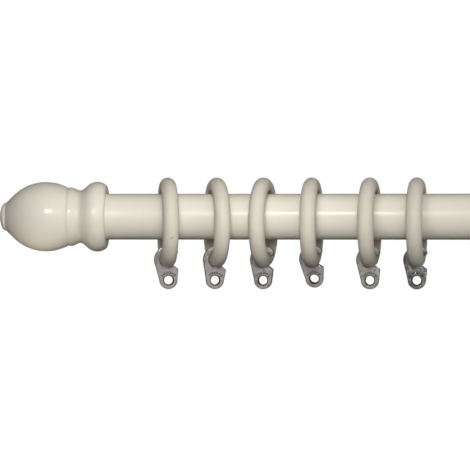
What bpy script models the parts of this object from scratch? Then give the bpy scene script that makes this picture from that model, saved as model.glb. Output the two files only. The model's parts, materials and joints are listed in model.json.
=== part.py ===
# A painted wooden curtain pole on two wall brackets, with turned finials, rings and clip-on eyelets.
# X runs along the pole, Y points at the wall and Z is up, all in metres.
# The origin is the middle of the left wall plate's back, where it meets the wall.

from math import asin, cos, pi, radians, sin

import bmesh
import bpy
from mathutils import Matrix, Vector

GAP = 0.0003  # clearance between pieces that touch

# Pole
POLE_DIAMETER = 0.028
POLE_LENGTH = 1.200
PROJECTION = 0.085  # wall to the pole's axis
BRACKET_INSET = 0.270  # pole end to the middle of its bracket

# Finial, measured outwards from the pole's end
BALL_RADIUS = 0.0212
BALL_ROUNDING = 0.0280  # radius of the ball's side, so that it narrows to a shoulder
BALL_PLACE = 0.0393
BEAD_RADIUS = 0.0178
BEAD_PLACE = 0.0236
BEAD_HALF_LENGTH = 0.0021
NECK_RADIUS = 0.0161
NECK_PLACE = 0.0183
COVE_RADIUS = 0.0044
COLLAR_RADIUS = 0.0213
COLLAR_PLACE = 0.0078
COLLAR_CROWN = 0.0073  # how far the collar's rounding stands out
COLLAR_HALF_LENGTH = 0.0078
COLLAR_SPAN = radians(137), radians(45)  # where each rounding begins and ends
COVE_SPAN = radians(208), radians(310)
BALL_SPAN = radians(117), radians(46.5)
BUTTON_RADIUS = 0.0082
BUTTON_PLACE = 0.0642
BUTTON_CROWN = 0.0032
BUTTON_FOOT = 0.0636, 0.0087  # where the ball's shoulder meets the button
SEAT_STEP = 0.0002  # the finial's end stands this much proud of the pole
SEAT_LENGTH = 0.0021  # from the finial's end to its collar

# Fasteners
DOWEL_SCREW_RADIUS = 0.0030
DOWEL_SCREW_REACH = 0.025  # into the pole, and as far into the finial
HANGER_BOLT_RADIUS = 0.0030
HANGER_BOLT_REACH = 0.040  # into the bracket's arm, from the wall plate
LOCK_SCREW_RADIUS = 0.00175
LOCK_SCREW_HEAD_RADIUS = 0.0036
LOCK_SCREW_REACH = 0.009  # into the pole
SCREW_POINT = 0.004

# Bracket
CRADLE_WALL = 0.0075
CRADLE_WIDTH = 0.024
CRADLE_LIP = 0.010  # the cradle's ends stand this high over the pole's axis
ROSE_RADIUS = 0.0275
ROSE_THICKNESS = 0.009
ROSE_ROUNDING = 0.004
ROSE_STEP_RADIUS = 0.0200
ARM_RADIUS = 0.0095
ARM_COVE_END = 0.026  # from the wall
ARM_END_RADIUS = 0.0100
ARM_BITE = 0.003  # how far the arm runs into the cradle's wall

# Wall plate
PLATE_RADIUS = 0.020
PLATE_THICKNESS = 0.002
BOSS_RADIUS = 0.006
BOSS_HEIGHT = 0.006
PLATE_BACK_LEFT = 0.0025  # metal left behind the bolt
WALL_SCREW_HOLE_RADIUS = 0.00225
WALL_SCREW_HEAD_RADIUS = 0.0038
WALL_SCREW_OFFSET = 0.0135

# Rings
RING_TUBE_DIAMETER = 0.0096
RING_PLAY = 0.0078  # how much wider the ring's hole is than the pole

# Eyelet clips
CLIP_WALL = 0.0032
CLIP_THICKNESS = 0.003
CLIP_MOUTH_LOW = radians(-57)
CLIP_MOUTH_HIGH = radians(24)
CLIP_LEAD_IN = radians(14)  # the hook's tip is cut back to a point over this angle
CLIP_TIP_PLACE = 0.55  # where in the wall's thickness the point is
CLIP_BACK = radians(188)
EYE_RADIUS = 0.0027
EYE_BELOW_TUBE = 0.0076  # from the tube's underside to the eye's centre
TAB_RADIUS = 0.0055
SHOULDER_REACH = 0.0060
SHOULDER_DROP = 0.0006  # the shoulder's top, below the tube's underside

# Each ring: distance from the pole's left end, turn about Z, then its clip's tilt and swing, in degrees
RINGS = [
    (0.0352, 8.9, 2.0, 0.0),
    (0.0651, 11.5, -5.0, 0.0),
    (0.0938, -10.3, -1.0, 0.0),
    (0.1232, -7.4, 4.0, 12.0),
    (0.1585, -9.6, 0.5, 0.0),
    (0.1871, -9.0, 0.0, 0.0),
]

# How finely round shapes are cut
POLE_SIDES = 32
TURNED_SIDES = 24
ROD_SIDES = 12
RING_STEPS = 30
TUBE_SIDES = 10
CRADLE_STEPS = 22, 14  # outside and inside
CLIP_STEPS = 13, 9  # inside and outside
TAB_STEPS = 8
FINIAL_STEPS = 7, 6, 9, 4  # collar, cove, ball and button
ROSE_STEPS = 4, 6  # rim and cove
SHARP_ANGLE = radians(35)
SAME_POINT = 1e-6

pole_radius = POLE_DIAMETER / 2
tube_radius = RING_TUBE_DIAMETER / 2
ring_radius = pole_radius + RING_PLAY / 2 + tube_radius
ring_drop = RING_PLAY / 2 - GAP
cradle_inner = pole_radius + GAP
cradle_outer = cradle_inner + CRADLE_WALL
bracket_span = POLE_LENGTH - 2 * BRACKET_INSET


def clear_scene():
    for old in list(bpy.data.objects):
        bpy.data.objects.remove(old, do_unlink=True)


def material(name, colour, roughness, metallic=0.0, alpha=1.0):
    made = bpy.data.materials.new(name)
    made.use_nodes = True
    shader = made.node_tree.nodes["Principled BSDF"]
    shader.inputs["Base Color"].default_value = (*colour, 1)
    shader.inputs["Roughness"].default_value = roughness
    shader.inputs["Metallic"].default_value = metallic
    shader.inputs["Alpha"].default_value = alpha
    return made


def smoothed(mesh):
    mesh.shade_smooth()
    mesh.set_sharp_from_angle(angle=SHARP_ANGLE)
    return mesh


def mesh_from(bm, name):
    """Closes off a bmesh as a smooth mesh whose faces point out."""
    bmesh.ops.remove_doubles(bm, verts=bm.verts, dist=SAME_POINT)
    bmesh.ops.recalc_face_normals(bm, faces=bm.faces)
    mesh = bpy.data.meshes.new(name)
    bm.to_mesh(mesh)
    bm.free()
    return smoothed(mesh)


def arc(centre, radii, start, stop, steps):
    """Points along part of an ellipse, from one angle to another, ends included."""
    turns = [start + (stop - start) * n / steps for n in range(steps + 1)]
    return [(centre[0] + radii[0] * cos(t), centre[1] + radii[1] * sin(t)) for t in turns]


def spin_about_x(bm, geom, steps):
    centre, axis = (0, 0, 0), (1, 0, 0)
    bmesh.ops.spin(bm, geom=geom, axis=axis, cent=centre, angle=2 * pi, steps=steps, use_merge=True)


def turned(name, profile, sides=TURNED_SIDES):
    """A solid turned about X from (place, radius) pairs that begin and end on the axis."""
    bm = bmesh.new()
    points = [bm.verts.new((x, 0, r)) for x, r in profile]
    edges = [bm.edges.new(pair) for pair in zip(points, points[1:])]
    spin_about_x(bm, points + edges, sides)
    return mesh_from(bm, name)


def rod(start, end, radius, end_radius=None, sides=ROD_SIDES):
    """A round bar between two points, or a cone."""
    run = Vector(end) - Vector(start)
    turn = run.to_track_quat("Z", "Y").to_matrix().to_4x4()
    place = Matrix.Translation((Vector(start) + Vector(end)) / 2) @ turn
    wide = radius if end_radius is None else end_radius
    bm = bmesh.new()
    bmesh.ops.create_cone(
        bm, cap_ends=True, segments=sides, radius1=radius, radius2=wide, depth=run.length, matrix=place
    )
    return mesh_from(bm, "rod")


def extruded(name, outline, depth):
    """An outline in X and Z, given a depth along Y about its middle."""
    bm = bmesh.new()
    face = bm.faces.new([bm.verts.new((x, -depth / 2, z)) for x, z in outline])
    grown = bmesh.ops.extrude_face_region(bm, geom=[face])["geom"]
    front = [v for v in grown if isinstance(v, bmesh.types.BMVert)]
    bmesh.ops.translate(bm, verts=front, vec=(0, depth, 0))
    return mesh_from(bm, name)


def shaped(mesh, steps):
    """The mesh after a row of Booleans, each an operation and the mesh that it works with."""
    blank = bpy.data.objects.new("blank", mesh)
    bpy.context.collection.objects.link(blank)
    helpers = []
    for operation, tool_mesh in steps:
        tool = bpy.data.objects.new("cutter", tool_mesh)
        bpy.context.collection.objects.link(tool)
        tool.hide_render = True
        tool.display_type = "WIRE"
        helpers.append(tool)
        step = blank.modifiers.new("shape", "BOOLEAN")
        step.solver = "EXACT"
        step.operation = operation
        step.object = tool
    bpy.context.view_layer.update()
    done = blank.evaluated_get(bpy.context.evaluated_depsgraph_get())
    result = bpy.data.meshes.new_from_object(done)
    result.name = mesh.name
    for helper in [blank, *helpers]:
        bpy.data.objects.remove(helper, do_unlink=True)
    return smoothed(result)


def rotated(mesh, angle, axis):
    mesh.transform(Matrix.Rotation(angle, 4, axis))
    return mesh


def place(name, mesh, finish, parent, location=(0, 0, 0), turn=(0, 0, 0)):
    """Puts one piece in the scene. Pieces that share a mesh share its finish."""
    piece = bpy.data.objects.new(name, mesh)
    bpy.context.collection.objects.link(piece)
    if not mesh.materials:
        mesh.materials.append(finish)
    piece.location = location
    piece.rotation_euler = turn
    piece.parent = parent
    return piece


def anchor(name, location):
    """An empty that a group of pieces hangs on."""
    empty = bpy.data.objects.new(name, None)
    bpy.context.collection.objects.link(empty)
    empty.location = location
    return empty


def pole_mesh():
    """The pole from its left end at X = 0, with pilot holes in both ends and under both brackets."""
    ends = [(0, 0), (0, pole_radius), (POLE_LENGTH, pole_radius), (POLE_LENGTH, 0)]
    depth = DOWEL_SCREW_REACH + GAP
    bore = DOWEL_SCREW_RADIUS + GAP
    cuts = [
        rod((-depth, 0, 0), (depth, 0, 0), bore),
        rod((POLE_LENGTH - depth, 0, 0), (POLE_LENGTH + depth, 0, 0), bore),
    ]
    for x in (BRACKET_INSET, POLE_LENGTH - BRACKET_INSET):
        top = LOCK_SCREW_REACH + GAP - pole_radius
        cuts.append(rod((x, 0, -2 * pole_radius), (x, 0, top), LOCK_SCREW_RADIUS + GAP))
    return shaped(turned("pole", ends, POLE_SIDES), [("DIFFERENCE", cut) for cut in cuts])


def finial_profile():
    """Seat, collar, cove, bead, ball and button, as (distance from the pole's end, radius)."""
    collar_steps, cove_steps, ball_steps, button_steps = FINIAL_STEPS
    collar_centre = COLLAR_PLACE, COLLAR_RADIUS - COLLAR_CROWN
    collar = arc(collar_centre, (COLLAR_HALF_LENGTH, COLLAR_CROWN), *COLLAR_SPAN, collar_steps)
    cove_centre = NECK_PLACE, NECK_RADIUS + COVE_RADIUS
    cove = arc(cove_centre, (COVE_RADIUS, COVE_RADIUS), *COVE_SPAN, cove_steps)
    bead_start, bead_end = BEAD_PLACE - BEAD_HALF_LENGTH / 2, BEAD_PLACE + BEAD_HALF_LENGTH
    bead = [(bead_start, BEAD_RADIUS), (bead_end, BEAD_RADIUS)]
    ball_centre = BALL_PLACE, BALL_RADIUS - BALL_ROUNDING
    ball = arc(ball_centre, (BALL_ROUNDING, BALL_ROUNDING), *BALL_SPAN, ball_steps) + [BUTTON_FOOT]
    button = arc((BUTTON_PLACE, 0), (BUTTON_CROWN, BUTTON_RADIUS), pi / 2, 0, button_steps)
    seat_radius = pole_radius + SEAT_STEP
    seat = [(GAP, 0), (GAP, seat_radius), (SEAT_LENGTH, seat_radius)]
    return seat + collar + cove + bead + ball + button[:-1] + [(BUTTON_PLACE + BUTTON_CROWN, 0)]


def finial_mesh():
    depth = DOWEL_SCREW_REACH + GAP
    bore = rod((-depth, 0, 0), (depth, 0, 0), DOWEL_SCREW_RADIUS + GAP)
    return shaped(turned("finial", finial_profile()), [("DIFFERENCE", bore)])


def dowel_screw_mesh():
    """A double-ended wood screw, half of it in the pole and half in the finial."""
    r = DOWEL_SCREW_RADIUS
    end = DOWEL_SCREW_REACH
    shank = end - SCREW_POINT
    return turned("finial_screw", [(-end, 0), (-shank, r), (shank, r), (end, 0)], ROD_SIDES)


def wall_plate_mesh():
    """A disc with a boss for the hanger bolt and two countersunk holes, its back at Y = 0."""
    profile = [
        (0, 0),
        (0, PLATE_RADIUS),
        (PLATE_THICKNESS, PLATE_RADIUS),
        (PLATE_THICKNESS, BOSS_RADIUS),
        (PLATE_THICKNESS + BOSS_HEIGHT, BOSS_RADIUS),
        (PLATE_THICKNESS + BOSS_HEIGHT, 0),
    ]
    blank = rotated(turned("wall_plate", profile), -pi / 2, "Z")
    front = -PLATE_THICKNESS
    tapped = rod((0, front - 2 * BOSS_HEIGHT, 0), (0, -PLATE_BACK_LEFT, 0), HANGER_BOLT_RADIUS + GAP)
    cuts = [tapped]
    head = WALL_SCREW_HEAD_RADIUS
    for z in (-WALL_SCREW_OFFSET, WALL_SCREW_OFFSET):
        cuts.append(rod((0, 2 * front, z), (0, -front, z), WALL_SCREW_HOLE_RADIUS))
        cuts.append(rod((0, front + head, z), (0, front - GAP, z), 0, head + GAP))
    return shaped(blank, [("DIFFERENCE", cut) for cut in cuts])


def hanger_bolt_mesh():
    """From the bottom of the wall plate's tapped hole to its point in the bracket's arm."""
    start = PLATE_BACK_LEFT + GAP
    end = start + HANGER_BOLT_REACH
    r = HANGER_BOLT_RADIUS
    profile = [(start, 0), (start, r), (end - SCREW_POINT, r), (end, 0)]
    return rotated(turned("hanger_bolt", profile, ROD_SIDES), -pi / 2, "Z")


def cradle_mesh():
    """A U that the pole drops into, open at the top, on its axis and cut across X."""
    lip_out = asin(CRADLE_LIP / cradle_outer)
    outside_steps, inside_steps = CRADLE_STEPS
    outside = arc((0, 0), (cradle_outer, cradle_outer), lip_out, -pi - lip_out, outside_steps)
    inside = arc((0, 0), (cradle_inner, cradle_inner), -pi, 0, inside_steps)
    outline = outside + [(-cradle_inner, CRADLE_LIP)] + inside + [(cradle_inner, CRADLE_LIP)]
    cradle = rotated(extruded("cradle", outline, CRADLE_WIDTH), pi / 2, "Z")
    cradle.transform(Matrix.Translation((0, -PROJECTION, 0)))
    return cradle


def arm_profile():
    """The rose and the arm, as (distance from the wall, radius)."""
    rim_steps, cove_steps = ROSE_STEPS
    rim = ROSE_THICKNESS - ROSE_ROUNDING, ROSE_RADIUS - ROSE_ROUNDING
    edge = arc(rim, (ROSE_ROUNDING, ROSE_ROUNDING), pi / 2, 0, rim_steps)
    cove_long = ARM_COVE_END - ROSE_THICKNESS
    cove_deep = ROSE_STEP_RADIUS - ARM_RADIUS
    cove = arc((ARM_COVE_END, ROSE_STEP_RADIUS), (cove_long, cove_deep), pi, 3 * pi / 2, cove_steps)
    end = PROJECTION - cradle_inner - CRADLE_WALL + ARM_BITE
    return [(0, 0), (0, ROSE_RADIUS)] + edge + cove + [(end, ARM_END_RADIUS), (end, 0)]


def bracket_mesh():
    """Rose, arm and cradle in one piece of wood, hollowed behind for the plate and drilled for its screws."""
    body = rotated(turned("bracket_body", arm_profile()), -pi / 2, "Z")
    wall = (0, 0, 0)
    plate_front = -PLATE_THICKNESS - GAP
    boss_front = plate_front - BOSS_HEIGHT
    bolt_end = -PLATE_BACK_LEFT - HANGER_BOLT_REACH - 2 * GAP
    head = LOCK_SCREW_HEAD_RADIUS
    axis, under = (0, -PROJECTION, 0), -cradle_outer
    rooms = [
        rod((0, PLATE_THICKNESS, 0), (0, plate_front, 0), PLATE_RADIUS + GAP, sides=TURNED_SIDES),
        rod(wall, (0, boss_front, 0), BOSS_RADIUS + 2 * GAP, sides=TURNED_SIDES),
        rod(wall, (0, bolt_end, 0), HANGER_BOLT_RADIUS + GAP),
        rod((0, -PROJECTION, 2 * under), axis, LOCK_SCREW_RADIUS + GAP),
        rod((0, -PROJECTION, under - head), (0, -PROJECTION, under + head), 2 * head + GAP, GAP),
    ]
    return shaped(body, [("UNION", cradle_mesh())] + [("DIFFERENCE", room) for room in rooms])


def lock_screw_mesh():
    """A countersunk screw, up through the cradle into the pole, with Z = 0 on the pole's axis."""
    under = -cradle_outer
    top = LOCK_SCREW_REACH - pole_radius
    r = LOCK_SCREW_RADIUS
    neck = under + LOCK_SCREW_HEAD_RADIUS - r
    profile = [(under, 0), (under, LOCK_SCREW_HEAD_RADIUS), (neck, r), (top - SCREW_POINT, r), (top, 0)]
    return rotated(turned("pole_lock_screw", profile, ROD_SIDES), -pi / 2, "Y")


def ring_mesh():
    """A round-section ring about X, its centre at the origin."""
    bm = bmesh.new()
    upright = Matrix.Translation((0, 0, ring_radius)) @ Matrix.Rotation(pi / 2, 4, "X")
    circle = bmesh.ops.create_circle(bm, segments=TUBE_SIDES, radius=tube_radius, matrix=upright)
    edges = list({e for v in circle["verts"] for e in v.link_edges})
    spin_about_x(bm, circle["verts"] + edges, RING_STEPS)
    return mesh_from(bm, "ring")


def clip_outline():
    """The C that snaps round the ring, and the tab below it, about the tube's centre."""
    inner = tube_radius + GAP
    outer = inner + CLIP_WALL
    eye_drop = tube_radius + EYE_BELOW_TUBE
    inside_steps, outside_steps = CLIP_STEPS
    tab = arc((0, -eye_drop), (TAB_RADIUS, TAB_RADIUS), pi, 2 * pi, TAB_STEPS)
    shoulder = [(SHOULDER_REACH, -tube_radius - SHOULDER_DROP)]
    mouth_end = CLIP_MOUTH_HIGH - 2 * pi
    inside = arc((0, 0), (inner, inner), CLIP_MOUTH_LOW, mouth_end, inside_steps)
    reach = inner + CLIP_TIP_PLACE * CLIP_WALL
    tip = reach * cos(CLIP_MOUTH_HIGH), reach * sin(CLIP_MOUTH_HIGH)
    outside_start = CLIP_MOUTH_HIGH + CLIP_LEAD_IN
    outside = arc((0, 0), (outer, outer), outside_start, CLIP_BACK, outside_steps)
    return tab + shoulder + inside + [tip] + outside


def clip_mesh():
    """One eyelet clip at the bottom of its ring, turning about the ring's centre at the origin."""
    blank = extruded("ring_eyelet", clip_outline(), CLIP_THICKNESS)
    eye_z = -tube_radius - EYE_BELOW_TUBE
    eye = rod((0, -CLIP_THICKNESS, eye_z), (0, CLIP_THICKNESS, eye_z), EYE_RADIUS)
    return shaped(blank, [("DIFFERENCE", eye)])


def hung_clip(mesh, tilt):
    """A copy of the clip, leaned about the tube and moved down to the ring's lowest point."""
    clip = mesh.copy()
    clip.transform(Matrix.Translation((0, 0, -ring_radius)) @ Matrix.Rotation(-radians(tilt), 4, "Y"))
    return clip


def add_pole(gloss, steel, axis):
    place("pole", pole_mesh(), gloss, axis)
    finial, screw = finial_mesh(), dowel_screw_mesh()
    for side, x, turn in (("left", 0, pi), ("right", POLE_LENGTH, 0)):
        place(f"finial_{side}", finial, gloss, axis, (x, 0, 0), (0, 0, turn))
        place(f"finial_screw_{side}", screw, steel, axis, (x, 0, 0))


def add_brackets(gloss, steel):
    bracket, plate = bracket_mesh(), wall_plate_mesh()
    bolt, lock = hanger_bolt_mesh(), lock_screw_mesh()
    for side, x in (("left", 0), ("right", bracket_span)):
        wall = anchor(f"bracket_{side}", (x, 0, 0))
        place(f"bracket_body_{side}", bracket, gloss, wall)
        place(f"wall_plate_{side}", plate, steel, wall)
        place(f"hanger_bolt_{side}", bolt, steel, wall)
        place(f"pole_lock_screw_{side}", lock, steel, wall, (0, -PROJECTION, 0))


def add_rings(satin, clear_grey, axis):
    ring, clip = ring_mesh(), clip_mesh()
    for number, (along, yaw, tilt, swing) in enumerate(RINGS, 1):
        turn = (0, 0, radians(yaw))
        hung = place(f"ring_{number}", ring, satin, axis, (along, 0, -ring_drop), turn)
        leaned = hung_clip(clip, tilt)
        place(f"ring_eyelet_{number}", leaned, clear_grey, hung, turn=(radians(swing), 0, 0))


def main():
    clear_scene()
    gloss = material("cream_gloss_paint", (0.80, 0.75, 0.64), 0.22)
    satin = material("cream_satin_paint", (0.74, 0.69, 0.59), 0.45)
    steel = material("zinc_plated_steel", (0.62, 0.62, 0.60), 0.35, metallic=1.0)
    clear_grey = material("smoky_clear_plastic", (0.52, 0.48, 0.45), 0.25, alpha=0.7)
    axis = anchor("pole_axis", (-BRACKET_INSET, -PROJECTION, 0))
    add_pole(gloss, steel, axis)
    add_brackets(gloss, steel)
    add_rings(satin, clear_grey, axis)


main()
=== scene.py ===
import json
from math import asin, cos, degrees, pi, radians, sin

import bmesh
import bpy
from mathutils import Matrix, Vector


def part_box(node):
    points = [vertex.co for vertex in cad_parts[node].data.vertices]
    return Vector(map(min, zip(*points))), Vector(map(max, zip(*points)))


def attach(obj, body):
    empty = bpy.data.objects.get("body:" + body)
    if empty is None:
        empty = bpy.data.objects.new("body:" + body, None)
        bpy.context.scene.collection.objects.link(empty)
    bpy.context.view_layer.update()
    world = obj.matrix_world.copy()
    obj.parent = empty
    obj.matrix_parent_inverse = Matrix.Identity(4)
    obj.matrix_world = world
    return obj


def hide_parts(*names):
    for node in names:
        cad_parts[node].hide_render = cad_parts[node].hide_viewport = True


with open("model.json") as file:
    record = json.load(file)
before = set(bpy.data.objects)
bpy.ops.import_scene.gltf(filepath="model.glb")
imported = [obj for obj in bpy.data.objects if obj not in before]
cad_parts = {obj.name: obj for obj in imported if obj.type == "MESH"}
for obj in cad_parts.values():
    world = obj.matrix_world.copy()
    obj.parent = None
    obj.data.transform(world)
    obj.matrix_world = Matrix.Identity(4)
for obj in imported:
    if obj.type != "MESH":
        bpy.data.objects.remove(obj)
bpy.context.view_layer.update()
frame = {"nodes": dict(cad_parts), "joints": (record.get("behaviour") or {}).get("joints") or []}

scene = bpy.context.scene
joints = {joint["name"]: joint for joint in frame["joints"]}
upright = Matrix.Rotation(pi / 2, 4, "X")
shading = {
    "mergeWithin": 2e-7,
    "sharpAngle": 38,  # degrees between faces, past which an edge stays crisp
    "rimAngle": 60,  # degrees, past which a plate's edge is a rim to be rounded
}
print("frame loaded:", len(frame["nodes"]), "nodes")


def nodeCentre(node):
    low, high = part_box(node)
    return (low + high) / 2


def arcPoints(centre, radii, start, stop, steps):
    # points along an ellipse from one angle to another, in degrees
    turns = [radians(start + (stop - start) * step / steps) for step in range(steps + 1)]
    return [(centre[0] + radii[0] * cos(turn), centre[1] + radii[1] * sin(turn)) for turn in turns]


def meshFrom(bm, name):
    bmesh.ops.remove_doubles(bm, verts=bm.verts, dist=shading["mergeWithin"])
    bmesh.ops.recalc_face_normals(bm, faces=bm.faces)
    mesh = bpy.data.meshes.new(name)
    bm.to_mesh(mesh)
    bm.free()
    mesh.shade_smooth()
    mesh.set_sharp_from_angle(angle=radians(shading["sharpAngle"]))
    return mesh


def turnOnLathe(name, profile, steps=96):
    # profile runs (along X, radius), from the axis back to the axis
    bm = bmesh.new()
    points = [bm.verts.new((along, 0, radius)) for along, radius in profile]
    edges = [bm.edges.new(pair) for pair in zip(points, points[1:])]
    bmesh.ops.spin(bm, geom=points + edges, axis=(1, 0, 0), cent=(0, 0, 0),
                   angle=2 * pi, steps=steps, use_merge=True)
    return meshFrom(bm, name)


def hoop(name, radius, thick, deep, steps, sides):
    # a closed ring about X, whose section is thick along the radius and deep along X
    bm = bmesh.new()
    place = Matrix.Translation((0, 0, radius)) @ Matrix.Diagonal((deep, 1, thick, 1)) @ upright
    circle = bmesh.ops.create_circle(bm, segments=sides, radius=1, matrix=place)["verts"]
    edges = list({edge for vert in circle for edge in vert.link_edges})
    bmesh.ops.spin(bm, geom=circle + edges, axis=(1, 0, 0), cent=(0, 0, 0),
                   angle=2 * pi, steps=steps, use_merge=True)
    return meshFrom(bm, name)


def drill(start, end, radius, endRadius=None, segments=48):
    # a round cutter or a cone between two points
    run = Vector(end) - Vector(start)
    turn = run.to_track_quat("Z", "Y").to_matrix().to_4x4()
    place = Matrix.Translation((Vector(start) + Vector(end)) / 2) @ turn
    bm = bmesh.new()
    bmesh.ops.create_cone(bm, cap_ends=True, segments=segments, radius1=radius,
                          radius2=radius if endRadius is None else endRadius,
                          depth=run.length, matrix=place)
    return meshFrom(bm, "drill")


def bevelledPlate(name, outline, depth, bevel, segments):
    # an outline in X and Z made into a plate of that depth along Y, its rims rounded
    bm = bmesh.new()
    face = bm.faces.new([bm.verts.new((x, -depth / 2, z)) for x, z in outline])
    grown = bmesh.ops.extrude_face_region(bm, geom=[face])["geom"]
    far = [item for item in grown if isinstance(item, bmesh.types.BMVert)]
    bmesh.ops.translate(bm, vec=(0, depth, 0), verts=far)
    bmesh.ops.recalc_face_normals(bm, faces=bm.faces)
    rims = [edge for edge in bm.edges if edge.calc_face_angle() > radians(shading["rimAngle"])]
    bmesh.ops.bevel(bm, geom=rims, offset=bevel, offset_type="OFFSET", segments=segments,
                    profile=0.5, affect="EDGES", material=-1, clamp_overlap=True)
    return meshFrom(bm, name)


def combine(mesh, steps):
    # a chain of Booleans on a mesh, made real
    work = bpy.data.objects.new("work", mesh)
    scene.collection.objects.link(work)
    tools = []
    for operation, toolMesh in steps:
        tool = bpy.data.objects.new("tool", toolMesh)
        scene.collection.objects.link(tool)
        tools.append(tool)
        modifier = work.modifiers.new("combine", "BOOLEAN")
        modifier.solver = "EXACT"
        modifier.operation = operation
        modifier.object = tool
    bpy.context.view_layer.update()
    made = bpy.data.meshes.new_from_object(work.evaluated_get(bpy.context.evaluated_depsgraph_get()))
    made.name = mesh.name
    for helper in [work] + tools:
        bpy.data.objects.remove(helper, do_unlink=True)
    made.shade_smooth()
    made.set_sharp_from_angle(angle=radians(shading["sharpAngle"]))
    return made


def moved(mesh, place):
    mesh.transform(place)
    return mesh


def addPiece(name, mesh, material, body, stands=()):
    # puts a finished mesh in the scene, rides it on its body and hides the parts it stands for
    mesh.materials.clear()
    mesh.materials.append(material)
    mesh.update()
    piece = bpy.data.objects.new(name, mesh)
    scene.collection.objects.link(piece)
    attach(piece, body)
    if stands:
        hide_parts(*stands)
    return piece


def startMaterial(name):
    material = bpy.data.materials.new(name)
    material.use_nodes = True
    tree = material.node_tree
    return material, tree, tree.nodes["Principled BSDF"]


def linkedNode(tree, kind, sockets=None, **settings):
    # a node with its settings, and each socket either fed by another socket or given a value
    node = tree.nodes.new(kind)
    for key, value in settings.items():
        setattr(node, key, value)
    for key, value in (sockets or {}).items():
        if isinstance(value, bpy.types.NodeSocket):
            tree.links.new(value, node.inputs[key])
        else:
            node.inputs[key].default_value = value
    return node


def noiseOn(tree, place, scale, detail=3.0, roughness=0.55, stretch=(1, 1, 1)):
    mapping = linkedNode(tree, "ShaderNodeMapping", {"Vector": place, "Scale": stretch})
    return linkedNode(tree, "ShaderNodeTexNoise", {
        "Vector": mapping.outputs["Vector"], "Scale": scale, "Detail": detail, "Roughness": roughness,
    }).outputs["Fac"]


def spanned(tree, value, source, target):
    # takes a value from one span to another and holds it there
    return linkedNode(tree, "ShaderNodeMapRange", {
        "Value": value, "From Min": source[0], "From Max": source[1],
        "To Min": target[0], "To Max": target[1],
    }).outputs["Result"]


def ranged(tree, noise, low, high):
    # a noise's middle part, which is all it mostly gives, spread from low to high
    return spanned(tree, noise, (0.3, 0.7), (low, high))


def tinted(tree, factor, first, second, blend="MIX"):
    node = tree.nodes.new("ShaderNodeMix")
    node.data_type = "RGBA"
    node.blend_type = blend
    for socket, value in (("Factor_Float", factor), ("A_Color", first), ("B_Color", second)):
        target = next(item for item in node.inputs if item.identifier == socket)
        if isinstance(value, bpy.types.NodeSocket):
            tree.links.new(value, target)
        else:
            target.default_value = value
    return next(item for item in node.outputs if item.identifier == "Result_Color")


def bumped(tree, layers):
    # height layers, each (height, strength, distance), one bump on the last
    normal = None
    for height, strength, distance in layers:
        sockets = {"Height": height, "Strength": strength, "Distance": distance}
        if normal is not None:
            sockets["Normal"] = normal
        normal = linkedNode(tree, "ShaderNodeBump", sockets).outputs["Normal"]
    return normal


glossPaint = {
    "colour": (0.795, 0.752, 0.650, 1),
    "thin": (0.772, 0.724, 0.616, 1),  # where the coat is a little thinner
    "roughness": (0.21, 0.27),
    "cloudScale": 34,  # all scales are per metre
    "peelScale": 620,  # orange peel
    "peelBump": (0.03, 0.00010),  # strength and height
    "grainScale": 420,  # the wood's fibres under the paint
    "grainStretch": (0.05, 1, 1),
    "grainBump": (0.05, 0.00010),
}


def makeGlossPaint(name, grain):
    material, tree, shader = startMaterial(name)
    place = tree.nodes.new("ShaderNodeTexCoord").outputs["Object"]
    clouds = noiseOn(tree, place, glossPaint["cloudScale"], 4)
    peel = noiseOn(tree, place, glossPaint["peelScale"], 2, 0.5)
    tone = tinted(tree, ranged(tree, clouds, 0, 1), glossPaint["colour"], glossPaint["thin"])
    tree.links.new(tone, shader.inputs["Base Color"])
    low, high = glossPaint["roughness"]
    tree.links.new(ranged(tree, clouds, low, high), shader.inputs["Roughness"])
    layers = [(peel, *glossPaint["peelBump"])]
    if grain:  # the pole's own wood shows a little, the turned pieces' doesn't
        fibres = noiseOn(tree, place, glossPaint["grainScale"], 4, 0.6, glossPaint["grainStretch"])
        layers.append((fibres, *glossPaint["grainBump"]))
    tree.links.new(bumped(tree, layers), shader.inputs["Normal"])
    return material


satinPaint = {
    "colour": (0.668, 0.622, 0.524, 1),
    "thin": (0.630, 0.584, 0.486, 1),
    "roughness": (0.36, 0.48),
    "boreShade": (0.30, 0.265, 0.21, 1),  # painted shade on the bore, standing in for the shadow of the pole and the ring's near side
    "boreShadeFrom": (-0.30, -0.75),  # how far inwards on the section the painted shade starts and is full
    "cloudScale": 90,
    "peelScale": 800,
    "peelBump": (0.12, 0.00012),
    "lineScale": 5.0,  # faint tool lines round the section
    "lineStretch": (0.35, 9, 1),
    "lineBump": (0.25, 0.00012),
    "chipColour": (0.30, 0.22, 0.13, 1),
    "chipPlace": (-0.2304, -0.1105, -0.01265),  # a small chip on the first ring
    "chipSlant": -24,
    "chipSize": (0.0019, 0.0030, 0.00034),
    "chipRagged": (2600, 0.9),  # scale and reach of its uneven edge
    "chipEdge": (1.5, 0.7),
    "chipBump": (0.5, 0.0003),
}


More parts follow.
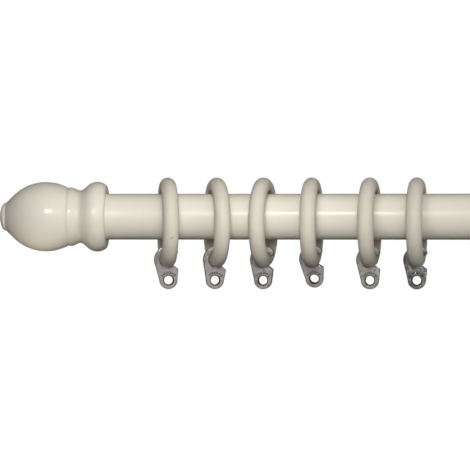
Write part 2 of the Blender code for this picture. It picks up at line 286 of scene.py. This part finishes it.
def makeSatinPaint(name):
    material, tree, shader = startMaterial(name)
    place = tree.nodes.new("ShaderNodeTexCoord").outputs["Object"]
    section = tree.nodes.new("ShaderNodeUVMap")
    section.uv_map = "section"
    clouds = noiseOn(tree, place, satinPaint["cloudScale"], 4)
    peel = noiseOn(tree, place, satinPaint["peelScale"], 2, 0.5)
    onSection = section.outputs["UV"]
    lines = noiseOn(tree, onSection, satinPaint["lineScale"], 3, 0.6, satinPaint["lineStretch"])
    coat = tinted(tree, ranged(tree, clouds, 0, 1), satinPaint["colour"], satinPaint["thin"])
    outward = linkedNode(tree, "ShaderNodeSeparateXYZ", {"Vector": onSection}).outputs["Y"]
    # painted shade: the section's inner side is darkened towards the bore
    bore = spanned(tree, outward, satinPaint["boreShadeFrom"], (0, 1))
    tone = tinted(tree, bore, coat, satinPaint["boreShade"])
    chip = linkedNode(tree, "ShaderNodeMapping", {
        "Vector": place,
        "Location": satinPaint["chipPlace"],
        "Rotation": (0, radians(satinPaint["chipSlant"]), 0),
        "Scale": satinPaint["chipSize"],
    }, vector_type="TEXTURE")
    reach = linkedNode(tree, "ShaderNodeVectorMath", {0: chip.outputs["Vector"]}, operation="LENGTH")
    scale, height = satinPaint["chipRagged"]
    flecks = noiseOn(tree, place, scale, 3)
    ragged = linkedNode(tree, "ShaderNodeMath", {0: flecks, 1: height}, operation="MULTIPLY")
    edge = linkedNode(tree, "ShaderNodeMath", {0: reach.outputs["Value"], 1: ragged.outputs[0]},
                      operation="ADD")
    mask = spanned(tree, edge.outputs[0], satinPaint["chipEdge"], (0, 1))
    chipped = tinted(tree, mask, tone, satinPaint["chipColour"])
    tree.links.new(chipped, shader.inputs["Base Color"])
    low, high = satinPaint["roughness"]
    tree.links.new(ranged(tree, clouds, low, high), shader.inputs["Roughness"])
    hollow = linkedNode(tree, "ShaderNodeMath", {0: mask, 1: -1.0}, operation="MULTIPLY").outputs[0]
    layers = [(peel, *satinPaint["peelBump"]), (lines, *satinPaint["lineBump"]),
              (hollow, *satinPaint["chipBump"])]
    tree.links.new(bumped(tree, layers), shader.inputs["Normal"])
    return material


smokyPlastic = {
    "roughness": (0.10, 0.24),
    "index": 1.49,
    "clear": 0.50,  # share of the light that goes through the tab
    "flowScale": 520,  # moulding flow marks, per metre
    "flowBump": (0.20, 0.0003),
    "edge": 0.02,  # how dark the painted shade on its rims and sides is
    "edgeTurn": (0.985, 0.80),  # how far a face turns from flat to count as a side
    "hookHighlight": (0.98, 0.94, 0.88, 1),  # painted highlight: the hook's upper part is tinted pale; it is also milkier than the tab
    "hookHighlightShare": 0.9,
    "hookClear": 0.04,
    "hookHeights": (-0.0222, -0.0172),  # where the tab's plastic ends and the hook's painted highlight and milkier plastic are full
    "rippleScale": 560,  # ripples in its glossy skin
    "rippleHeight": 0.0007,
    "hookRipple": 0.3,
    "rippleHeights": (-0.0232, -0.0212),
    "skin": (0.8, 0.11, 2.2),  # weight, roughness and index of the glossy skin
}
# each plastic: its tint, how dark its flow marks are and how strongly its skin ripples
plastics = {
    "smokyClear": ((0.60, 0.555, 0.535, 1), 0.74, 0.0),
    "smokyClearFlowed": ((0.64, 0.62, 0.60, 1), 0.42, 0.5),
    "smokyClearDark": ((0.46, 0.46, 0.45, 1), 0.10, 0.9),
}


def makeSmokyPlastic(name):
    tint, mottle, ripple = plastics[name]
    look = smokyPlastic
    material, tree, shader = startMaterial(name)
    place = tree.nodes.new("ShaderNodeTexCoord")
    flow = noiseOn(tree, place.outputs["Object"], look["flowScale"], 4, 0.65)
    darker = tuple(part * mottle for part in tint[:3]) + (1,)
    body = tinted(tree, ranged(tree, flow, 0, 1), tint, darker)
    # painted shade: faces turned away from flat, the rims, sides and the studs' flanks, are darkened,
    # standing in for the dark edges clear plastic shows
    facing = linkedNode(tree, "ShaderNodeSeparateXYZ", {"Vector": place.outputs["Normal"]}).outputs["Y"]
    flat = linkedNode(tree, "ShaderNodeMath", {0: facing}, operation="ABSOLUTE").outputs[0]
    side = spanned(tree, flat, look["edgeTurn"], (0, 1))
    rim = tuple(part * look["edge"] for part in tint[:3]) + (1,)
    rimShaded = tinted(tree, side, body, rim)
    height = linkedNode(tree, "ShaderNodeSeparateXYZ", {"Vector": place.outputs["Object"]}).outputs["Z"]
    # painted highlight: the colour turns pale towards the hook's top
    hook = spanned(tree, height, look["hookHeights"], (0, look["hookHighlightShare"]))
    tree.links.new(tinted(tree, hook, rimShaded, look["hookHighlight"]), shader.inputs["Base Color"])
    through = spanned(tree, height, look["hookHeights"], (look["clear"], look["hookClear"]))
    tree.links.new(through, shader.inputs["Transmission Weight"])
    shader.inputs["IOR"].default_value = look["index"]
    low, high = look["roughness"]
    tree.links.new(ranged(tree, flow, low, high), shader.inputs["Roughness"])
    for socket, value in zip(("Coat Weight", "Coat Roughness", "Coat IOR"), look["skin"]):
        shader.inputs[socket].default_value = value
    ripples = noiseOn(tree, place.outputs["Object"], look["rippleScale"], 2, 0.5)
    strength = spanned(tree, height, look["rippleHeights"], (ripple, look["hookRipple"]))
    skin = bumped(tree, [(ripples, strength, look["rippleHeight"])])
    tree.links.new(skin, shader.inputs["Coat Normal"])
    tree.links.new(bumped(tree, [(flow, *look["flowBump"])]), shader.inputs["Normal"])
    return material


zincSteel = {
    "colour": (0.60, 0.60, 0.585, 1),
    "passivated": (0.63, 0.60, 0.50, 1),  # a faint yellow bloom
    "roughness": (0.38, 0.52),
    "metallic": 0.45,  # the dull bloom hides part of the metal
    "bloomScale": 130,
    "bloomShare": 0.6,
    "scratchScale": 900,
    "scratchStretch": (1, 1, 0.12),
    "scratchBump": (0.15, 0.00008),
}


def makeZincSteel(name):
    material, tree, shader = startMaterial(name)
    place = tree.nodes.new("ShaderNodeTexCoord").outputs["Object"]
    bloom = noiseOn(tree, place, zincSteel["bloomScale"], 4)
    scratches = noiseOn(tree, place, zincSteel["scratchScale"], 3, 0.6, zincSteel["scratchStretch"])
    yellowed = ranged(tree, bloom, 0, zincSteel["bloomShare"])
    tone = tinted(tree, yellowed, zincSteel["colour"], zincSteel["passivated"])
    tree.links.new(tone, shader.inputs["Base Color"])
    low, high = zincSteel["roughness"]
    tree.links.new(ranged(tree, scratches, low, high), shader.inputs["Roughness"])
    shader.inputs["Metallic"].default_value = zincSteel["metallic"]
    tree.links.new(bumped(tree, [(scratches, *zincSteel["scratchBump"])]), shader.inputs["Normal"])
    return material


polePaint = makeGlossPaint("creamGlossPole", True)
turnedPaint = makeGlossPaint("creamGlossTurned", False)
ringPaint = makeSatinPaint("creamSatinRing")
clearGrey = makeSmokyPlastic("smokyClear")
flowGrey = makeSmokyPlastic("smokyClearFlowed")
darkGrey = makeSmokyPlastic("smokyClearDark")
zinc = makeZincSteel("zincPlatedSteel")
print("materials made")


poleLow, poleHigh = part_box("pole")
axisY, axisZ = (poleLow.y + poleHigh.y) / 2, (poleLow.z + poleHigh.z) / 2
pole = {
    "radius": (poleHigh.z - poleLow.z) / 2,
    "edge": 0.0001,
    "boreRadius": 0.0033,
    "boreDepth": 0.0253,
}


def makePole():
    length = poleHigh.x - poleLow.x
    radius, edge = pole["radius"], pole["edge"]
    bore, depth = pole["boreRadius"], pole["boreDepth"]
    profile = [(depth, 0), (depth, bore), (0, bore), (0, radius - edge), (edge, radius)]
    profile += [(length - along, radius) for along, radius in reversed(profile)]
    mesh = turnOnLathe("curtainPole", profile, 128)
    return moved(mesh, Matrix.Translation((poleLow.x, axisY, axisZ)))


addPiece("curtainPole", makePole(), polePaint, "root", ["pole"])
print("pole made")


finial = {
    "start": 0.00004,
    "seatRadius": 0.01406,
    "seatLength": 0.0021,
    "collarEdge": (0.0020, 0.0187),
    "collarPlace": 0.0078,
    "collarBase": 0.0140,
    "collarCrown": 0.0073,
    "collarInner": 0.0078,  # half length towards the pole
    "collarOuter": 0.0080,
    "collarSpan": (136.5, 47),
    "neckPlace": 0.0183,
    "neckRadius": 0.01607,
    "coveRadius": 0.00326,
    "coveSpan": (229.6, 294.2),
    "beadPlace": 0.0239,
    "beadRadius": 0.0179,
    "beadRound": 0.0050,
    "beadSpan": (114.2, 70),
    "ballPlace": 0.0393,
    "ballRadius": 0.0212,
    "ballRounding": 0.0280,  # radius of its side, so that it narrows to a shoulder
    "ballSpan": (118.0, 46.5),  # all spans are degrees from the pole's direction
    "buttonFoot": [(0.0632, 0.0091), (0.0636, 0.0080), (0.0639, 0.0080)],
    "buttonPlace": 0.0642,
    "buttonRadius": 0.0085,
    "buttonCrown": 0.0032,
    "buttonEdge": 88,
    "boreRadius": 0.0033,
    "boreDepth": 0.0253,
}


def finialProfile():
    part = finial
    start, seatRadius = part["start"], part["seatRadius"]
    bore = [(part["boreDepth"], 0), (part["boreDepth"], part["boreRadius"]), (start, part["boreRadius"])]
    seat = [(start, seatRadius), (part["seatLength"], seatRadius), part["collarEdge"]]
    collarCentre = part["collarPlace"], part["collarBase"]
    foot, end = part["collarSpan"]
    collar = arcPoints(collarCentre, (part["collarInner"], part["collarCrown"]), foot, 90, 18)
    collar += arcPoints(collarCentre, (part["collarOuter"], part["collarCrown"]), 90, end, 14)[1:]
    coveCentre = part["neckPlace"], part["neckRadius"] + part["coveRadius"]
    cove = arcPoints(coveCentre, (part["coveRadius"], part["coveRadius"]), *part["coveSpan"], 18)
    beadCentre = part["beadPlace"], part["beadRadius"] - part["beadRound"]
    bead = arcPoints(beadCentre, (part["beadRound"], part["beadRound"]), *part["beadSpan"], 12)
    rounding = part["ballRounding"]
    ballCentre = part["ballPlace"], part["ballRadius"] - rounding
    ball = arcPoints(ballCentre, (rounding, rounding), *part["ballSpan"], 56) + part["buttonFoot"]
    buttonSize = part["buttonCrown"], part["buttonRadius"]
    button = arcPoints((part["buttonPlace"], 0), buttonSize, part["buttonEdge"], 0, 16)
    tip = [(part["buttonPlace"] + part["buttonCrown"], 0)]
    return bore + seat + collar + cove + bead + ball + button[:-1] + tip


def makeFinials():
    for side, node, place, turn in (
        ("Left", "finial_left", poleLow.x, pi),
        ("Right", "finial_right", poleHigh.x, 0),
    ):
        mesh = turnOnLathe("finial" + side, finialProfile(), 128)
        moved(mesh, Matrix.Translation((place, axisY, axisZ)) @ Matrix.Rotation(turn, 4, "Z"))
        addPiece("finial" + side, mesh, turnedPaint, "root", [node])


makeFinials()
print("finials made")


ring = {
    "numbers": range(1, 7),
    "tubeRadius": 0.0048,
    "radius": 0.0227,
    "steps": 128,
    "sides": 40,
}


def ringPlace(number):
    # the ring's own frame: its centre, turned about Z as its eyelet's hinge says
    joint = joints[f"eyelet_{number}_swing"]
    along = Vector(joint["axis"])
    turn = Vector((1, 0, 0)).rotation_difference(along).to_matrix().to_4x4()
    return Matrix.Translation(Vector(joint["pos_m"])) @ turn


def addSectionMap(mesh, radius):
    # how far round the ring and how far round its section each corner is, for the tool lines and the
    # painted shade on the bore
    layer = mesh.uv_layers.new(name="section")
    for face in mesh.polygons:
        for corner in face.loop_indices:
            point = mesh.vertices[mesh.loops[corner].vertex_index].co
            out = Vector((0, point.y, point.z)).length - radius
            layer.data[corner].uv = (point.normalized().z, out / ring["tubeRadius"])


def makeRings():
    for number in ring["numbers"]:
        tube = ring["tubeRadius"]
        mesh = hoop(f"ring{number}", ring["radius"], tube, tube, ring["steps"], ring["sides"])
        addSectionMap(mesh, ring["radius"])
        moved(mesh, ringPlace(number))
        addPiece(f"ring{number}", mesh, ringPaint, f"ring_{number}", [f"ring_{number}"])


makeRings()
print("rings made")


eyelet = {
    "hookInner": 0.00490,
    "hookOuter": 0.0083,
    "thickness": 0.0030,
    "eyeDrop": 0.0124,
    "eyeRadius": 0.00262,
    "rimWidth": 0.00045,
    "rimHeight": 0.00190,
    "tabRadius": 0.0055,
    "shoulder": (0.0062, -0.0052),
    "shoulderRound": 0.0008,
    "shoulderTurn": 60,
    "mouth": (-46, 28),
    "hookSpan": (46, 188),
    "hookTip": (0.0066, 0.0042),
    "tipSlopes": [(0.0010, 0.0012), (0.0002, -0.0005)],  # how its point falls away on each side
    "cutMargin": 0.0005,
    "cutReach": 0.004,
    "bevel": 0.00068,
    "studs": 6,
    "studSpread": (38, 142),
    "studPlace": 0.00462,
    "studSizes": (0.00078, 0.00056),  # half their height, in turn
    "studHalf": 0.00070,
    "ribs": [(-0.0063, 0.0019, 50), (-0.0071, -0.0010, 84)],  # along, up and slant of the hook's ribs
    "ribSize": (0.0016, 0.00026, 0.00052),
    "lean": {1: 2.0, 2: -5.0, 3: -1.0, 4: 4.0, 5: 0.5, 6: 0.0},
    "swing": {4: 12.0},
    "plastics": {3: flowGrey, 5: flowGrey, 6: darkGrey},
}


def eyeletOutline():
    part = eyelet
    inner, outer = part["hookInner"], part["hookOuter"]
    low, high = part["mouth"]
    tab = arcPoints((0, -part["eyeDrop"]), (part["tabRadius"], part["tabRadius"]), 180, 360, 28)
    x, z = part["shoulder"]
    turn = part["shoulderRound"]
    corner = arcPoints((x - turn, z - turn), (turn, turn), 0, part["shoulderTurn"], 5)
    inside = arcPoints((0, 0), (inner, inner), low, high - 360, 56)
    point = Vector(part["hookTip"])
    before, after = (point - Vector(slope) for slope in part["tipSlopes"])
    tip = [tuple(before), tuple(point), tuple(after)]
    outside = arcPoints((0, 0), (outer, outer), *part["hookSpan"], 30)
    return tab + corner + inside + tip + outside


def makeEyelet():
    part = eyelet
    drop = Matrix.Translation((0, 0, -part["eyeDrop"]))
    blank = bevelledPlate("eyelet", eyeletOutline(), part["thickness"], part["bevel"], 3)
    eye = Vector((0, 0, -part["eyeDrop"]))
    reach = Vector((0, part["cutReach"], 0))
    cut = drill(eye - reach, eye + reach, part["eyeRadius"] + part["cutMargin"])
    rim = hoop("rim", part["eyeRadius"] + part["rimWidth"], part["rimWidth"], part["rimHeight"], 56, 16)
    moved(rim, drop @ Matrix.Rotation(pi / 2, 4, "Z"))
    studs = bmesh.new()
    first, last = part["studSpread"]
    for count in range(part["studs"]):
        turn = radians(first + (last - first) * count / (part["studs"] - 1))
        long = part["studSizes"][count % 2]
        onFace = Matrix.Translation((part["studPlace"], -part["thickness"] / 2, 0))
        place = drop @ Matrix.Rotation(-turn, 4, "Y") @ onFace
        shape = Matrix.Diagonal((long, part["studHalf"], part["studHalf"], 1))
        bmesh.ops.create_uvsphere(studs, u_segments=14, v_segments=8, radius=1, matrix=place @ shape)
    for along, up, slant in part["ribs"]:
        onFace = Matrix.Translation((along, -part["thickness"] / 2, up))
        place = onFace @ Matrix.Rotation(-radians(slant), 4, "Y")
        shape = Matrix.Diagonal((*part["ribSize"], 1))
        bmesh.ops.create_uvsphere(studs, u_segments=28, v_segments=16, radius=1, matrix=place @ shape)
    return combine(blank, [("DIFFERENCE", cut), ("UNION", rim), ("UNION", meshFrom(studs, "studs"))])


def makeEyelets():
    base = makeEyelet()
    for number in ring["numbers"]:
        mesh = base.copy()
        lean = Matrix.Rotation(-radians(eyelet["lean"][number]), 4, "Y")
        swing = Matrix.Rotation(radians(eyelet["swing"].get(number, 0)), 4, "X")
        hang = Matrix.Translation((0, 0, -ring["radius"]))
        moved(mesh, ringPlace(number) @ swing @ hang @ lean)
        plastic = eyelet["plastics"].get(number, clearGrey)
        addPiece(f"eyelet{number}", mesh, plastic, f"eyelet_{number}",
                 [f"ring_eyelet_{number}"])
    bpy.data.meshes.remove(base)


makeEyelets()
print("eyelets made")


bracket = {
    "roseRadius": 0.0275,
    "roseThickness": 0.0090,
    "roseRounding": 0.0040,
    "roseEdge": 0.0006,
    "roseStep": 0.0200,
    "armRadius": 0.0095,
    "coveEnd": 0.0260,
    "armEnd": 0.0100,
    "plateRoom": 0.0203,
    "plateDepth": 0.0023,
    "bossRoom": 0.0066,
    "bossDepth": 0.0083,
    "boltRoom": 0.0033,
    "boltDepth": 0.0431,
    "cupInner": 0.0143,
    "cupOuter": 0.0218,
    "cupLip": 0.0100,
    "cupWidth": 0.0240,
    "cupBevel": 0.0012,
    "armInto": 0.0045,  # how far the arm goes into the cup's wall
    "screwRoom": 0.00205,
    "headRoom": 0.0042,
    "cutReach": 0.01,
}


def armProfile():
    part = bracket
    edge = part["roseEdge"]
    rooms = [
        (part["boltDepth"], 0), (part["boltDepth"], part["boltRoom"]),
        (part["bossDepth"], part["boltRoom"]), (part["bossDepth"], part["bossRoom"]),
        (part["plateDepth"], part["bossRoom"]), (part["plateDepth"], part["plateRoom"]),
        (0, part["plateRoom"]), (0, part["roseRadius"] - edge), (edge, part["roseRadius"]),
    ]
    rounding = part["roseRounding"]
    rimCentre = part["roseThickness"] - rounding, part["roseRadius"] - rounding
    rim = arcPoints(rimCentre, (rounding, rounding), 90, 0, 12)
    long = part["coveEnd"] - part["roseThickness"]
    deep = part["roseStep"] - part["armRadius"]
    cove = arcPoints((part["coveEnd"], part["roseStep"]), (long, deep), 180, 270, 26)
    end = -axisY - part["cupInner"] - part["armInto"]
    return rooms + rim + cove + [(end, part["armEnd"]), (end, 0)]


def cupOutline():
    part = bracket
    inner, outer, lip = part["cupInner"], part["cupOuter"], part["cupLip"]
    lipAngle = degrees(asin(lip / outer))
    outside = arcPoints((0, 0), (outer, outer), lipAngle, -180 - lipAngle, 72)
    inside = arcPoints((0, 0), (inner, inner), -180, 0, 48)
    return outside + [(-inner, lip)] + inside + [(inner, lip)]


def makeBracket(side, x):
    part = bracket
    arm = turnOnLathe("bracket" + side, armProfile(), 96)
    moved(arm, Matrix.Rotation(-pi / 2, 4, "Z"))
    cup = bevelledPlate("cup", cupOutline(), part["cupWidth"], part["cupBevel"], 4)
    moved(cup, Matrix.Translation((0, axisY, axisZ)) @ Matrix.Rotation(pi / 2, 4, "Z"))
    under = axisZ - part["cupOuter"]
    head = part["headRoom"]
    below = under - part["cutReach"]
    hole = drill((0, axisY, below), (0, axisY, axisZ), part["screwRoom"], segments=32)
    sink = drill((0, axisY, under - head), (0, axisY, under + head), 2 * head, 0)
    mesh = combine(arm, [("UNION", cup), ("DIFFERENCE", hole), ("DIFFERENCE", sink)])
    moved(mesh, Matrix.Translation((x, 0, 0)))
    stands = ["bracket_body_" + side.lower()]
    addPiece("bracket" + side, mesh, turnedPaint, "root", stands)


plate = {
    "radius": 0.0200,
    "thickness": 0.0020,
    "bossRadius": 0.0060,
    "bossHeight": 0.0060,
    "backLeft": 0.0025,
    "holeRadius": 0.00225,
    "headRadius": 0.0038,
    "holeOffset": 0.0135,
    "threadRadius": 0.0033,
    "discEdge": 0.0003,
    "bossEdge": 0.0004,
    "cutMargin": 0.0005,
    "cutReach": 0.01,
}


def makeWallPlate(side, x):
    part = plate
    disc, boss, deep = part["radius"], part["bossRadius"], part["thickness"]
    edge, turn, thread = part["discEdge"], part["bossEdge"], part["threadRadius"]
    front = deep + part["bossHeight"]
    profile = [
        (0, 0), (0, disc - edge), (edge, disc), (deep - edge, disc), (deep, disc - edge),
        (deep, boss + turn), (deep + turn, boss), (front - turn, boss), (front, boss - turn),
        (front, thread), (part["backLeft"], thread), (part["backLeft"], 0),
    ]
    blank = moved(turnOnLathe("wallPlate" + side, profile, 72), Matrix.Rotation(-pi / 2, 4, "Z"))
    cuts = []
    face, head = -part["thickness"], part["headRadius"]
    more, reach = part["cutMargin"], part["cutReach"]
    for z in (-part["holeOffset"], part["holeOffset"]):
        hole = drill((0, -reach, z), (0, reach, z), part["holeRadius"], segments=32)
        sink = drill((0, face + head, z), (0, face - more, z), 0, head + more, 32)
        cuts += [("DIFFERENCE", hole), ("DIFFERENCE", sink)]
    mesh = moved(combine(blank, cuts), Matrix.Translation((x, 0, 0)))
    addPiece("wallPlate" + side, mesh, zinc, "root", ["wall_plate_" + side.lower()])


lockScrew = {
    "radius": 0.00175,
    "headRadius": 0.0036,
    "headEdge": 0.0002,
    "reach": 0.0090,
    "point": 0.0040,
    "crossLength": 0.0044,
    "crossWidth": 0.0009,
    "crossDepth": 0.0016,
}


def makeLockScrew(side, x):
    part = lockScrew
    under = -bracket["cupOuter"]
    top = part["reach"] - pole["radius"]
    neck = under + part["headRadius"] - part["radius"]
    edge = part["headEdge"]
    profile = [(under, 0), (under, part["headRadius"] - edge), (under + edge, part["headRadius"]),
               (neck, part["radius"]), (top - part["point"], part["radius"]), (top, 0)]
    blank = moved(turnOnLathe("lockScrew" + side, profile, 40), Matrix.Rotation(-pi / 2, 4, "Y"))
    cuts = []
    for turn in (pi / 4, -pi / 4):
        bar = bmesh.new()
        size = Matrix.Diagonal((part["crossLength"], part["crossWidth"], 2 * part["crossDepth"], 1))
        place = Matrix.Translation((0, 0, under)) @ Matrix.Rotation(turn, 4, "Z") @ size
        bmesh.ops.create_cube(bar, size=1, matrix=place)
        cuts.append(("DIFFERENCE", meshFrom(bar, "cross")))
    mesh = moved(combine(blank, cuts), Matrix.Translation((x, axisY, axisZ)))
    addPiece("lockScrew" + side, mesh, zinc, "root", ["pole_lock_screw_" + side.lower()])


for side in ("Left", "Right"):
    wallX = nodeCentre("wall_plate_" + side.lower()).x
    makeBracket(side, wallX)
    makeWallPlate(side, wallX)
    makeLockScrew(side, wallX)
print("brackets made")

for node in ("finial_screw_left", "finial_screw_right", "hanger_bolt_left", "hanger_bolt_right"):
    mesh = frame["nodes"][node].data
    mesh.materials.clear()
    mesh.materials.append(zinc)


camera = {
    "place": (-0.1614, -1.122, 0.0),
    "left": 1.78,  # degrees turned to the left of square on
    "down": 0.617,
    "lens": 130.2,
    "sensor": 36,
    "clip": (0.05, 60),
}


def addCamera():
    data = bpy.data.cameras.new("camera")
    data.lens = camera["lens"]
    data.sensor_width = camera["sensor"]
    data.clip_start, data.clip_end = camera["clip"]
    made = bpy.data.objects.new("camera", data)
    made.location = camera["place"]
    made.rotation_mode = "XYZ"
    turn = Matrix.Rotation(radians(camera["left"]), 4, "Z")
    tilt = Matrix.Rotation(radians(90 - camera["down"]), 4, "X")
    made.rotation_euler = (turn @ tilt).to_euler()
    scene.collection.objects.link(made)
    scene.camera = made


addCamera()


# each sun: watts, how wide it looks in degrees, and where it stands
suns = {
    "key": {"strength": 1.47, "spread": 24, "azimuth": 0, "elevation": 11.5},
    "top": {"strength": 0.40, "spread": 46, "azimuth": 0, "elevation": 86},
    "under": {"strength": 0.18, "spread": 60, "azimuth": 0, "elevation": -24},
    "right": {"strength": 0.5, "spread": 50, "azimuth": 78, "elevation": 12},
    "left": {"strength": 0.4, "spread": 50, "azimuth": -125, "elevation": 12},
    "behind": {"strength": 2.2, "spread": 50, "azimuth": 180, "elevation": 2},
}
# soft boxes: where they hang, where they point, their size and their watts
boxes = {
    "near": {"place": (-0.190, -0.285, 0.046), "target": (-0.190, -0.085, 0.0),
             "size": (0.08, 0.05), "strength": 0.160},
    "front": {"place": (-0.040, -0.460, 0.070), "target": (-0.040, -0.085, 0.0),
              "size": (0.10, 0.06), "strength": 0.040},
    "side": {"place": (-0.430, -0.300, 0.020), "target": (-0.320, -0.085, 0.0),
             "size": (0.06, 0.06), "strength": 0.009},
    "far": {"place": (0.48, -0.62, 0.14), "target": (0.48, -0.085, 0.0),
            "size": (0.70, 0.14), "strength": 0.9},
    "strip": {"place": (-0.080, -2.17, 0.66), "target": (-0.1, -0.085, 0.0),
              "size": (0.12, 0.22), "strength": 5.0, "onlyGloss": True},
    "glint": {"place": (-0.290, -0.190, 0.031), "target": (-0.300, -0.085, 0.0),
              "size": (0.024, 0.016), "strength": 0.020, "onlyGloss": True},
    "bounce": {"place": (-0.3190, -0.108, -0.054), "target": (-0.3150, -0.090, -0.020),
               "size": (0.02, 0.02), "strength": 0.0062, "colour": (1, 0.90, 0.80)},
}


def addLamp(name, kind, strength, onlyGloss=False):
    data = bpy.data.lights.new(name, kind)
    data.energy = strength
    lamp = bpy.data.objects.new(name, data)
    lamp.visible_glossy, lamp.visible_diffuse = onlyGloss, not onlyGloss
    lamp.visible_transmission = lamp.visible_camera = False
    scene.collection.objects.link(lamp)
    return lamp


def addSun(name, strength, spread, azimuth, elevation):
    lamp = addLamp(name, "SUN", strength)
    lamp.data.angle = radians(spread)
    az, el = radians(azimuth), radians(elevation)
    source = Vector((sin(az) * cos(el), -cos(az) * cos(el), sin(el)))
    lamp.rotation_euler = source.to_track_quat("Z", "Y").to_euler()


def addBox(name, place, target, size, strength, colour=(1, 1, 1), onlyGloss=False):
    lamp = addLamp(name, "AREA", strength, onlyGloss)
    lamp.data.shape = "RECTANGLE"
    lamp.data.size, lamp.data.size_y = size
    lamp.data.color = colour
    lamp.location = place
    lamp.rotation_euler = (Vector(place) - Vector(target)).to_track_quat("Z", "Y").to_euler()


for name, settings in suns.items():
    addSun(name, **settings)
for name, settings in boxes.items():
    addBox(name, **settings)

stage = {
    "floorDrop": 0.55,
    "floorMiddle": 0.3,
    "floorSize": 30,
    "white": (1.0, 1.0, 1.0, 1),
    "dim": (0.030, 0.029, 0.028, 1),  # what the room gives back to the object
    "seenThrough": (0.90, 0.87, 0.84, 1),  # what clear plastic shows behind it
}


def addWorld():
    world = bpy.data.worlds.new("studio")
    world.use_nodes = True
    scene.world = world
    tree = world.node_tree
    tree.nodes.clear()
    rays = tree.nodes.new("ShaderNodeLightPath")
    room = tinted(tree, rays.outputs["Is Transmission Ray"], stage["dim"], stage["seenThrough"])
    colour = tinted(tree, rays.outputs["Is Camera Ray"], room, stage["white"])
    back = linkedNode(tree, "ShaderNodeBackground", {"Color": colour, "Strength": 1.0})
    linkedNode(tree, "ShaderNodeOutputWorld", {"Surface": back.outputs["Background"]})


def addFloor():
    bm = bmesh.new()
    bmesh.ops.create_grid(bm, x_segments=1, y_segments=1, size=stage["floorSize"] / 2,
                          matrix=Matrix.Translation((stage["floorMiddle"], 0, -stage["floorDrop"])))
    mesh = bpy.data.meshes.new("floor")
    bm.to_mesh(mesh)
    bm.free()
    material = bpy.data.materials.new("floorWhite")
    material.use_nodes = True
    tree = material.node_tree
    tree.nodes.clear()
    glow = linkedNode(tree, "ShaderNodeEmission", {"Color": stage["white"], "Strength": 1.0})
    linkedNode(tree, "ShaderNodeOutputMaterial", {"Surface": glow.outputs["Emission"]})
    mesh.materials.append(material)
    floor = bpy.data.objects.new("floor", mesh)
    scene.collection.objects.link(floor)
    floor.visible_diffuse = floor.visible_glossy = False
    floor.visible_transmission = floor.visible_shadow = False


addWorld()
addFloor()
scene.view_settings.view_transform = "Standard"
print("camera, lights and stage made")
